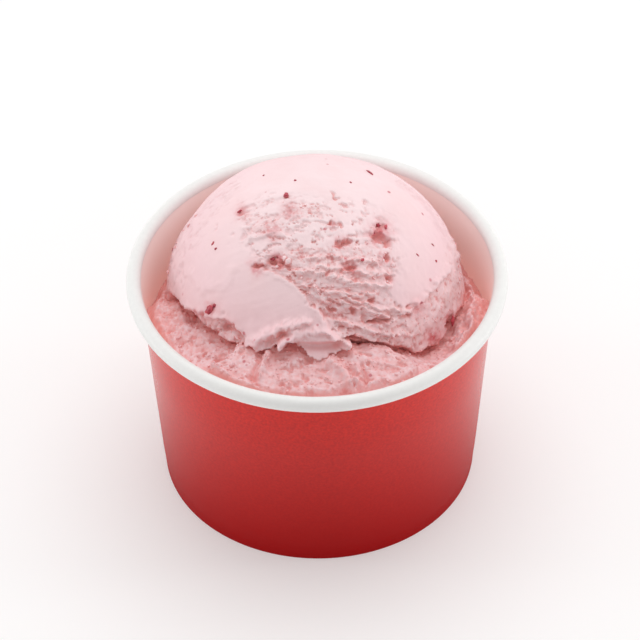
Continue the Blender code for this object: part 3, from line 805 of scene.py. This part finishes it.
def scatter_crumbs(name, places, shares, count, seed):
    """Strews uneven crumbs over a grid of places, thickest where the shares are high, as one piece."""
    chance = np.random.default_rng(seed)
    shape = bmesh.new()
    bmesh.ops.create_icosphere(shape, subdivisions=2, radius=1.0)
    shape.verts.index_update()
    ball = np.array([tuple(vert.co) for vert in shape.verts])
    faces = np.array([[vert.index for vert in face.verts] for face in shape.faces])
    shape.free()
    share = np.broadcast_to(shares, places.shape[:2]).ravel()
    spots = places.reshape(-1, 3)[chance.choice(len(share), count, p=share / share.sum())]
    sizes = CRUMB_SIZE * np.exp(0.38 * chance.standard_normal(count))
    jagged = ball * (1.0 + 0.12 * chance.standard_normal((count, len(ball), 1)))
    jagged = jagged * chance.uniform(0.6, 1.4, (count, 1, 3)) * sizes[:, None, None]
    turned = np.linalg.qr(chance.standard_normal((count, 3, 3)))[0]
    turned *= np.linalg.det(turned)[:, None, None]
    verts = np.einsum("nij,nkj->nki", turned, jagged) + spots[:, None]
    corners = faces[None] + (np.arange(count) * len(ball))[:, None, None]
    obj = new_piece(name, verts.reshape(-1, 3), corners.reshape(-1, 3).tolist())
    torn = np.full(count * len(ball), 0.2)
    paint(obj, [np.zeros(len(torn)), torn])
    return obj


def paint(obj, layers):
    """Stores up to three values at each point as the colour that the ice cream's material reads."""
    count = len(obj.data.vertices)
    values = np.zeros((count, 4), np.float32)
    for channel, layer in enumerate(layers):
        values[: layer.size, channel] = layer.ravel()
    attribute = obj.data.color_attributes.new(PAINTED, "FLOAT_COLOR", "POINT")
    attribute.data.foreach_set("color", values.ravel())


def dress(obj, material, slot, *nodes):
    """Gives a piece its material, its place on the body and the solids it stands for."""
    obj.data.materials.append(material)
    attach(obj, BODY)
    if nodes:
        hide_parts(*nodes)
    return obj


def new_material(name, roughness):
    """A material with its nodes on, and its shader and links."""
    material = bpy.data.materials.new(name)
    material.use_nodes = True
    shader = material.node_tree.nodes["Principled BSDF"]
    shader.inputs["Roughness"].default_value = roughness
    return material, material.node_tree.nodes, material.node_tree.links, shader


def add_noise(nodes, links, scale, detail):
    """A noise texture in the object's own coordinates, with its scale in bumps per metre."""
    texture = nodes.new("ShaderNodeTexNoise")
    texture.inputs["Scale"].default_value = scale
    texture.inputs["Detail"].default_value = detail
    links.new(nodes.new("ShaderNodeTexCoord").outputs["Object"], texture.inputs["Vector"])
    return texture


def mix_colours(nodes, links, share, first, second):
    """Mixes two colours, each a value or a socket, by a socket."""
    mix = nodes.new("ShaderNodeMix")
    mix.data_type = "RGBA"
    links.new(share, mix.inputs["Factor"])
    for socket, colour in (("A", first), ("B", second)):
        target = [s for s in mix.inputs if s.name == socket and s.type == "RGBA"][0]
        if isinstance(colour, bpy.types.NodeSocket):
            links.new(colour, target)
        else:
            target.default_value = colour
    return [s for s in mix.outputs if s.type == "RGBA"][0]


def map_range(nodes, links, value, low, high, to_low=0.0, to_high=1.0):
    """Turns a range of a socket's values into another, held at the ends."""
    node = nodes.new("ShaderNodeMapRange")
    links.new(value, node.inputs["Value"])
    node.inputs["From Min"].default_value = low
    node.inputs["From Max"].default_value = high
    node.inputs["To Min"].default_value = to_low
    node.inputs["To Max"].default_value = to_high
    return node.outputs["Result"]


def height_above(nodes, links, low, high):
    """0 at or below one height of the object and 1 at or above another."""
    split = nodes.new("ShaderNodeSeparateXYZ")
    links.new(nodes.new("ShaderNodeTexCoord").outputs["Object"], split.inputs["Vector"])
    return map_range(nodes, links, split.outputs["Z"], low, high)


def add_bump(nodes, links, shader, height, strength, distance):
    bump = nodes.new("ShaderNodeBump")
    bump.inputs["Strength"].default_value = strength
    bump.inputs["Distance"].default_value = distance
    links.new(height, bump.inputs["Height"])
    links.new(bump.outputs["Normal"], shader.inputs["Normal"])


def ice_cream_material(name, scoop, deeper):
    """Ice cream: pale on top and on the crests as a painted highlight, deeper in the valleys and red in pits
    and corners as painted shade.
    """
    material, nodes, links, shader = new_material(name, 0.50)
    painted = nodes.new("ShaderNodeAttribute")
    painted.attribute_name = PAINTED
    split = nodes.new("ShaderNodeSeparateColor")
    links.new(painted.outputs["Color"], split.inputs["Color"])
    sunk, torn, stained = (split.outputs[channel] for channel in ("Red", "Green", "Blue"))
    # Painted highlight: the top grows paler with height
    high = height_above(nodes, links, scoop.centre[2] + HIGHLIGHT_START, scoop.centre[2] + HIGHLIGHT_FULL)
    cloud = map_range(nodes, links, add_noise(nodes, links, 110.0, 4.0).outputs["Fac"], 0.45, 0.68, 0.0, 0.30)
    grain = add_noise(nodes, links, 950.0, 6.0).outputs["Fac"]
    low = combined(nodes, links, "SUBTRACT", sunk, map_range(nodes, links, grain, 0.34, 0.66, -0.40, 0.40))
    # Painted highlight on the crests of the torn ice cream
    crest_highlight = combined(nodes, links, "MULTIPLY", map_range(nodes, links, low, -0.20, -0.80), torn)
    # Painted shade: the valleys of the torn ice cream take the deeper colour
    valley_shade = combined(nodes, links, "MULTIPLY", map_range(nodes, links, low, -0.30, 0.45), torn)
    # Painted shade: the lowest hollows of the torn ice cream turn red
    deep = combined(nodes, links, "MULTIPLY", map_range(nodes, links, low, 0.20, 0.90), torn)
    soaked = map_range(nodes, links, low, -0.7, 0.3, 0.2, 1.0)
    stain = combined(nodes, links, "MULTIPLY", stained, soaked)
    # Painted shade: the colour deepens where surfaces come close, in corners and under overhangs
    corners = nodes.new("ShaderNodeAmbientOcclusion")
    corners.samples = 8
    corners.inputs["Distance"].default_value = CORNER_SHADE_REACH
    corner_shade = map_range(nodes, links, corners.outputs["AO"], 0.85, 0.35)
    base = tuple(scoop.skin_pink)
    for share, colour in (
        (high, scoop.highlight_pink),
        (cloud, deeper),
        (crest_highlight, scoop.highlight_pink),
        (valley_shade, deeper),
        (deep, scoop.pit_shade_pink),
        (stain, STAIN_RED),
        (corner_shade, scoop.corner_shade_pink),
        (speck_share(nodes, links), SPECK_RED),
    ):
        base = mix_colours(nodes, links, share, base, tuple(colour))
    links.new(base, shader.inputs["Base Color"])
    shader.inputs["Specular IOR Level"].default_value = 0.30
    rough = map_range(nodes, links, torn, 0.0, 1.0, 0.12, 1.0)
    add_bump(nodes, links, shader, combined(nodes, links, "MULTIPLY", grain, rough), 0.50, 0.35 * MM)
    return material


def combined(nodes, links, operation, first, second):
    """The product or difference of two sockets."""
    node = nodes.new("ShaderNodeMath")
    node.operation = operation
    links.new(first, node.inputs[0])
    links.new(second, node.inputs[1])
    return node.outputs["Value"]


def speck_share(nodes, links):
    """Tiny scattered specks of fruit."""
    cells = nodes.new("ShaderNodeTexVoronoi")
    cells.inputs["Scale"].default_value = 190.0
    links.new(nodes.new("ShaderNodeTexCoord").outputs["Object"], cells.inputs["Vector"])
    near = map_range(nodes, links, cells.outputs["Distance"], 0.06, 0.11, 1.0, 0.0)
    some = map_range(nodes, links, add_noise(nodes, links, 130.0, 1.0).outputs["Fac"], 0.42, 0.52)
    return map_range(nodes, links, combined(nodes, links, "MULTIPLY", near, some), 0.0, 1.0, 0.0, 0.75)


def lathe(name, profile, segments):
    """Turns a closed (radius, height) profile about the cup's axis."""
    turns = math.tau * np.arange(segments) / segments
    profile = np.array(profile)
    radius = profile[:, 0][:, None]
    height = np.broadcast_to(profile[:, 1][:, None], (len(profile), segments))
    grid = np.stack([radius * np.cos(turns), radius * np.sin(turns), height], axis=2)
    outward = grid_faces(len(profile), segments, len(profile))[:, [0, 3, 2, 1]]
    obj = new_piece(name, grid.reshape(-1, 3), outward.tolist())
    obj.data.shade_smooth()
    obj.data.set_sharp_from_angle(angle=math.radians(38))
    return obj


def outside_radius(height, cup):
    """Radius of the printed side at a height, with the hem drawn in below the crease."""
    drawn_in = 1.0 - smooth_step(height, cup.crease - 2.0 * MM, cup.crease + 2.0 * MM)
    return cone_radius(height, cup) - cup.hem_set * drawn_in


def settle_paper(obj, cup):
    """Makes the paper a little uneven, as a wrapped and rolled cup is."""
    for vert in obj.data.vertices:
        turn = math.atan2(vert.co.x, -vert.co.y)
        radius = math.hypot(vert.co.x, vert.co.y)
        rise = vert.co.z / cup.height
        sway = 0.07 * MM * rise * math.sin(2.0 * turn + 0.8) + 0.03 * MM * rise * math.sin(5.0 * turn)
        sway += 0.02 * MM * noise.noise(Vector((vert.co.x, vert.co.y, vert.co.z * 0.5)) / (9.0 * MM))
        vert.co.xy *= (radius + sway) / radius


def red_material(cup):
    """Red printed board under a thin clear coat, faintly grained, darker towards the foot as painted shade
    and with less coat there, so it reflects less, as a painted reflection.
    """
    material, nodes, links, shader = new_material("red_print", 0.36)
    high = height_above(nodes, links, 0.0, cup.height)
    # Painted shade: the print darkens from the rim down to the foot
    shaded_print_red = mix_colours(nodes, links, high, tuple(cup.red_shade_and_grain), tuple(cup.red))
    grain = map_range(nodes, links, add_noise(nodes, links, 1500.0, 3.0).outputs["Fac"], 0.3, 0.7, 0.0, 0.5)
    links.new(mix_colours(nodes, links, grain, shaded_print_red, tuple(cup.red_shade_and_grain)), shader.inputs["Base Color"])
    shader.inputs["Specular IOR Level"].default_value = 0.0
    # Painted reflection: the coat thins towards the foot, so it reflects less there
    coat = map_range(nodes, links, high, 0.0, 0.6, 0.2, 1.0)
    links.new(coat, shader.inputs["Coat Weight"])
    shader.inputs["Coat Roughness"].default_value = 0.22
    shader.inputs["Coat IOR"].default_value = 1.37
    add_bump(nodes, links, shader, add_noise(nodes, links, 1100.0, 4.0).outputs["Fac"], 0.16, 0.12 * MM)
    return material


def white_material(cup, name="white_board"):
    """White paperboard with a faint grain."""
    material, nodes, links, shader = new_material(name, 0.46)
    grain = map_range(nodes, links, add_noise(nodes, links, 900.0, 3.0).outputs["Fac"], 0.3, 0.7, 0.0, 1.0)
    greyer = tuple(c * 0.965 for c in cup.white[:3]) + (1.0,)
    links.new(mix_colours(nodes, links, grain, tuple(cup.white), greyer), shader.inputs["Base Color"])
    add_bump(nodes, links, shader, add_noise(nodes, links, 700.0, 3.0).outputs["Fac"], 0.10, 0.15 * MM)
    return material


def lining_material(cup):
    """The coated inner side, in painted light: a painted pink glow of light through the print and off the ice
    cream below, paler towards the rim where it is lit, and a faint painted emission.
    """
    material, nodes, links, shader = new_material("coated_lining", 0.40)
    high = height_above(nodes, links, cup.height - 16.0 * MM, cup.height - 2.0 * MM)
    colour = mix_colours(nodes, links, high, tuple(cup.lining_low), tuple(cup.lining_high))
    links.new(colour, shader.inputs["Base Color"])
    # Painted glow: the lining emits its own colour, standing in for light through the board
    links.new(colour, shader.inputs["Emission Color"])
    shader.inputs["Emission Strength"].default_value = cup.glow
    return material


class ICECUP_OT_paper_cup(Operator):
    """Makes the printed wrap, the rolled rim and the lining, and finishes the base disc"""

    bl_idname = "icecup.paper_cup"
    bl_label = "Paper cup"

    def execute(self, context):
        cup = context.scene.icecup_cup
        self.wrap(cup)
        self.rim(cup)
        self.lining(cup)
        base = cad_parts["cup_base"]
        base.data.materials.clear()
        base.data.materials.append(white_material(cup, "base_board"))
        return {"FINISHED"}

    def wrap(self, cup):
        top = cup.height - cup.rim_depth + 0.5 * MM
        heights = np.concatenate([
            [0.0, 0.12 * MM],
            np.linspace(0.6 * MM, cup.crease - 0.6 * MM, 6),
            np.linspace(cup.crease - 0.4 * MM, cup.crease + 0.4 * MM, 5),
            np.linspace(cup.crease + 1.0 * MM, top, 40),
        ])
        profile = []
        for height in heights[::-1]:
            inset = 0.08 * MM if height == 0.0 else 0.0
            profile.append((float(outside_radius(height, cup)) - inset, float(height)))
        sheet = cup.paper * SKIN_SHARE
        inner = [(radius - sheet, height) for radius, height in profile[::-1]]
        obj = lathe("printed_wrap", profile + inner, cup.segments)
        self.add_seam(obj, cup)
        settle_paper(obj, cup)
        dress(obj, red_material(cup), "printed_paper", "cup_wall")

    def add_seam(self, obj, cup):
        """Lifts the printed side at the back, where the wrap's end lies over its start."""
        half = cup.seam_width / 2.0 / cup.top_radius
        for vert in obj.data.vertices:
            from_back = math.atan2(vert.co.x, vert.co.y)
            radius = math.hypot(vert.co.x, vert.co.y)
            outer = radius > outside_radius(vert.co.z, cup) - 0.1 * MM
            if outer:
                lift = SEAM_LIFT * float(smooth_step(from_back, -half - 0.004, -half + 0.004))
                lift *= 1.0 - float(smooth_step(from_back, half - 0.05, half + 0.05))
                vert.co.xy *= (radius + lift) / radius

    def rim(self, cup):
        middle_radius = cup.rim_radius - cup.rim_width / 2.0
        middle_height = cup.height - cup.rim_depth / 2.0
        profile = []
        for share, turns in ((1.0, range(-128, 184, 6)), (RIM_INNER, range(182, -130, -8))):
            for degrees in turns:
                angle = math.radians(degrees)
                radius = middle_radius + share * cup.rim_width / 2.0 * math.cos(angle)
                profile.append((radius, middle_height + share * cup.rim_depth / 2.0 * math.sin(angle)))
        obj = lathe("rolled_rim", profile[::-1], cup.segments)
        settle_paper(obj, cup)
        dress(obj, white_material(cup), "printed_paper", "cup_wall")

    def lining(self, cup):
        top = cup.height - cup.rim_depth / 2.0
        sheet = cup.paper * SKIN_SHARE
        inner = cup.rim_radius - cup.rim_width
        profile = []
        for height in np.linspace(0.1 * MM, top, 44):
            wall = float(outside_radius(height, cup)) - cup.paper
            to_rim = float(smooth_step(height, top - 3.0 * MM, top))
            profile.append((wall + (inner + 0.02 * MM - wall) * to_rim, float(height)))
        outer = [(radius + sheet * 0.9, height) for radius, height in profile[::-1]]
        obj = lathe("coated_lining", (profile + outer)[::-1], cup.segments)
        settle_paper(obj, cup)
        dress(obj, lining_material(cup), "printed_paper", "cup_wall")


class ICECUP_OT_upper_scoop(Operator):
    """Makes the upper scoop with its skin, tears, pits, lips and tongue"""

    bl_idname = "icecup.upper_scoop"
    bl_label = "Upper scoop"

    def execute(self, context):
        scoop = context.scene.icecup_scoop
        points, layers, area = face_grid(scoop)
        sunk, torn, _ = layers
        centre = np.array(scoop.centre)
        obj = build_grid(
            "upper_scoop_skin", points + centre, points[0].mean(0) + centre, points[-1].mean(0) + centre
        )
        paint(obj, layers)
        material = ice_cream_material("strawberry_skin", scoop, scoop.torn_pink)
        dress(obj, material, "smooth_ice_cream", "upper_scoop")
        shown = area * (torn > 0.7) * (points[..., 1] < 10.0 * MM) * np.clip(-sunk, 0.0, 0.6)
        crumbs = scatter_crumbs("upper_crumbs", points + centre, shown, scoop.crumbs, seed=5)
        material = ice_cream_material("upper_crumb", scoop, scoop.torn_pink)
        dress(crumbs, material, "smooth_ice_cream")
        return {"FINISHED"}


class ICECUP_OT_lower_scoop(Operator):
    """Makes the lower scoop, torn and crumbly on top and melted along the wall"""

    bl_idname = "icecup.lower_scoop"
    bl_label = "Lower scoop"

    def execute(self, context):
        cup = context.scene.icecup_cup
        scoop = context.scene.icecup_scoop
        places, wet, sunk, turns = bed_grid(cup, scoop)
        centre = np.array(scoop.centre)
        sides = []
        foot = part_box("lower_scoop")[0].z
        edge = places[-1, :, 2] + centre[2]
        for share in SIDE_SHARES:
            height = edge + (foot - edge) * share
            distance = wall_distance(turns, height, cup, scoop)
            ring = [np.sin(turns) * distance, -np.cos(turns) * distance, height - centre[2]]
            sides.append(np.stack(ring, axis=1))
        grid = np.concatenate([places, np.array(sides)]) + centre
        top = grid[0].mean(0)
        top[2] = centre[2] - scoop.hollow - 0.5 * MM
        bottom = np.array([0.0, 0.0, foot])
        obj = build_grid("lower_scoop_bed", grid, top, bottom)
        paint(obj, [sunk, 0.5 + 0.5 * wet])
        material = ice_cream_material("strawberry_bed", scoop, scoop.wet_pink)
        dress(obj, material, "torn_ice_cream", "lower_scoop")
        outside = np.hypot(places[..., 0], places[..., 1]) > scoop.radius - 4.0 * MM
        shown = outside * (1.02 - wet) * (np.cos(turns) > -0.2) * np.clip(-sunk, 0.0, 0.6)
        crumbs = scatter_crumbs("bed_crumbs", places + centre, shown, scoop.crumbs, seed=9)
        material = ice_cream_material("bed_crumb", scoop, scoop.wet_pink)
        dress(crumbs, material, "torn_ice_cream")
        return {"FINISHED"}


def face_direction(across, up, scoop):
    """Unit vector from the upper scoop's middle to a place on its face, given in mm."""
    sine, cosine = math.sin(scoop.face_tilt), math.cos(scoop.face_tilt)
    base = Vector((across * MM, up * MM * sine, up * MM * cosine))
    out = Vector((0.0, -cosine, sine))
    scale = Vector((1.0 / scoop.radius, 1.0 / scoop.radius, 1.0 / scoop.half_height))
    flat_base = Vector(b * s for b, s in zip(base, scale))
    flat_out = Vector(o * s for o, s in zip(out, scale))
    square, half, rest = flat_out.dot(flat_out), flat_base.dot(flat_out), flat_base.dot(flat_base) - 1.0
    root = math.sqrt(max(half * half - square * rest, 0.0))
    return (base + out * ((root - half) / square)).normalized()


def add_bit(shape, place, outward, size, turn, seed, rough):
    """Adds one uneven bit to a bmesh, flattened against the surface it lies in."""
    up = Vector((0.0, 0.0, 1.0))
    side = up.cross(outward).normalized()
    over = outward.cross(side).normalized()
    axes = Matrix((side, over, outward)).transposed() @ Matrix.Rotation(math.radians(turn), 3, "Z")
    verts = bmesh.ops.create_icosphere(shape, subdivisions=3, radius=1.0)["verts"]
    for vert in verts:
        bend = 1.0 + rough * noise.fractal(vert.co * 1.3 + Vector((seed, 2.0 * seed, 0.0)), 1.0, 2.0, 3)
        local = Vector(c * s for c, s in zip(vert.co * bend, size))
        vert.co = place + axes @ local


class ICECUP_OT_fruit(Operator):
    """Sets bits of strawberry into the upper scoop"""

    bl_idname = "icecup.fruit"
    bl_label = "Fruit"

    def execute(self, context):
        scoop = context.scene.icecup_scoop
        shape = bmesh.new()
        for index, (across, up, along, over, turn) in enumerate(FRUIT):
            direction = face_direction(across, up, scoop)
            reach = upper_surface(np.array([tuple(direction)]), scoop)[0][0]
            place = Vector(scoop.centre) + direction * (reach + 0.02 * MM)
            thick = 0.45 * min(along, over) + 0.08
            size = [FRUIT_GAIN * along * MM, FRUIT_GAIN * over * MM, thick * MM]
            add_bit(shape, place, direction, size, turn, 3.7 * index, 0.45)
        mesh = bpy.data.meshes.new("fruit_bits")
        shape.to_mesh(mesh)
        shape.free()
        mesh.shade_smooth()
        obj = bpy.data.objects.new("fruit_bits", mesh)
        context.scene.collection.objects.link(obj)
        material, nodes, links, shader = new_material("strawberry_fruit", 0.34)
        shade = map_range(nodes, links, add_noise(nodes, links, 900.0, 3.0).outputs["Fac"], 0.35, 0.65)
        red = mix_colours(nodes, links, shade, tuple(scoop.fruit_red), PALER_FRUIT)
        links.new(red, shader.inputs["Base Color"])
        shader.inputs["Subsurface Weight"].default_value = 0.2
        shader.inputs["Subsurface Scale"].default_value = 0.0006
        dress(obj, material, "smooth_ice_cream")
        return {"FINISHED"}


class ICECUP_OT_stage(Operator):
    """Sets the pale floor, the soft lights and the camera"""

    bl_idname = "icecup.stage"
    bl_label = "Stage"

    def execute(self, context):
        studio = context.scene.icecup_studio
        self.floor(studio)
        self.surroundings(context, studio)
        for name, place, width, setting, share in SOFTBOXES:
            self.softbox(context, name, place, width, getattr(studio, setting) * share)
        self.camera(context, studio)
        return {"FINISHED"}

    def floor(self, studio):
        half = studio.floor_size / 2.0
        corners = np.array([(-half, -half, 0.0), (half, -half, 0.0), (half, half, 0.0), (-half, half, 0.0)])
        obj = new_piece("studio_floor", corners, [(0, 1, 2, 3)])
        material, _, _, shader = new_material("studio_paper", 0.75)
        shader.inputs["Base Color"].default_value = tuple(studio.floor_colour)
        shader.inputs["Specular IOR Level"].default_value = 0.15
        shader.inputs["Emission Color"].default_value = (1.0, 1.0, 1.0, 1.0)
        shader.inputs["Emission Strength"].default_value = studio.floor_glow
        obj.data.materials.append(material)

    def surroundings(self, context, studio):
        world = bpy.data.worlds.new("studio_white")
        world.use_nodes = True
        back = world.node_tree.nodes["Background"]
        nodes, links = world.node_tree.nodes, world.node_tree.links
        back.inputs["Color"].default_value = (1.0, 0.995, 0.99, 1.0)
        split = nodes.new("ShaderNodeSeparateXYZ")
        links.new(nodes.new("ShaderNodeTexCoord").outputs["Generated"], split.inputs["Vector"])
        front, back_side = studio.ambient_front, studio.ambient
        strength = map_range(nodes, links, split.outputs["Y"], -1.0, 0.3, front, back_side)
        links.new(strength, back.inputs["Strength"])
        context.scene.world = world
        context.scene.view_settings.view_transform = "Standard"

    def softbox(self, context, name, place, width, power):
        light = bpy.data.lights.new(name, "AREA")
        light.shape = "DISK"
        light.size = width
        light.energy = power
        obj = bpy.data.objects.new(name, light)
        obj.location = place
        obj.rotation_euler = (Vector(SOFTBOX_AIM) - Vector(place)).to_track_quat("-Z", "Y").to_euler()
        context.scene.collection.objects.link(obj)

    def camera(self, context, studio):
        aim = Vector(studio.aim)
        away = Vector((0.0, -math.cos(studio.elevation), math.sin(studio.elevation)))
        place = aim + away * studio.distance
        right = Vector((1.0, 0.0, 0.0))
        upward = away.cross(right)
        turned = right * math.cos(studio.roll) + upward * math.sin(studio.roll)
        upright = upward * math.cos(studio.roll) - right * math.sin(studio.roll)
        data = bpy.data.cameras.new("photo_camera")
        data.lens = studio.lens
        data.sensor_width = 36.0
        data.clip_end = 20.0
        obj = bpy.data.objects.new("photo_camera", data)
        axes = Matrix((turned, upright, away)).transposed().to_4x4()
        obj.matrix_world = Matrix.Translation(place) @ axes
        context.scene.collection.objects.link(obj)
        context.scene.camera = obj


class ICECUP_PT_panel(Panel):
    """Sizes and colours, and a button for each step"""

    bl_idname = "ICECUP_PT_panel"
    bl_label = "Ice cream cup"
    bl_space_type = "VIEW_3D"
    bl_region_type = "UI"
    bl_category = "Ice Cream"

    def draw(self, context):
        for operator in OPERATORS:
            self.layout.operator(operator.bl_idname)
        for group in ("icecup_cup", "icecup_scoop", "icecup_studio"):
            box = self.layout.box()
            settings = getattr(context.scene, group)
            for name in settings.__annotations__:
                box.prop(settings, name)


OPERATORS = (
    ICECUP_OT_paper_cup,
    ICECUP_OT_upper_scoop,
    ICECUP_OT_lower_scoop,
    ICECUP_OT_fruit,
    ICECUP_OT_stage,
)
CLASSES = (CupSettings, ScoopSettings, StudioSettings) + OPERATORS + (ICECUP_PT_panel,)


def register():
    for cls in CLASSES:
        bpy.utils.register_class(cls)
    bpy.types.Scene.icecup_cup = PointerProperty(type=CupSettings)
    bpy.types.Scene.icecup_scoop = PointerProperty(type=ScoopSettings)
    bpy.types.Scene.icecup_studio = PointerProperty(type=StudioSettings)


def unregister():
    del bpy.types.Scene.icecup_studio
    del bpy.types.Scene.icecup_scoop
    del bpy.types.Scene.icecup_cup
    for cls in reversed(CLASSES):
        bpy.utils.unregister_class(cls)


def main():
    register()
    bpy.ops.icecup.paper_cup()
    bpy.ops.icecup.upper_scoop()
    bpy.ops.icecup.lower_scoop()
    bpy.ops.icecup.fruit()
    bpy.ops.icecup.stage()


if __name__ == "__main__":
    main()
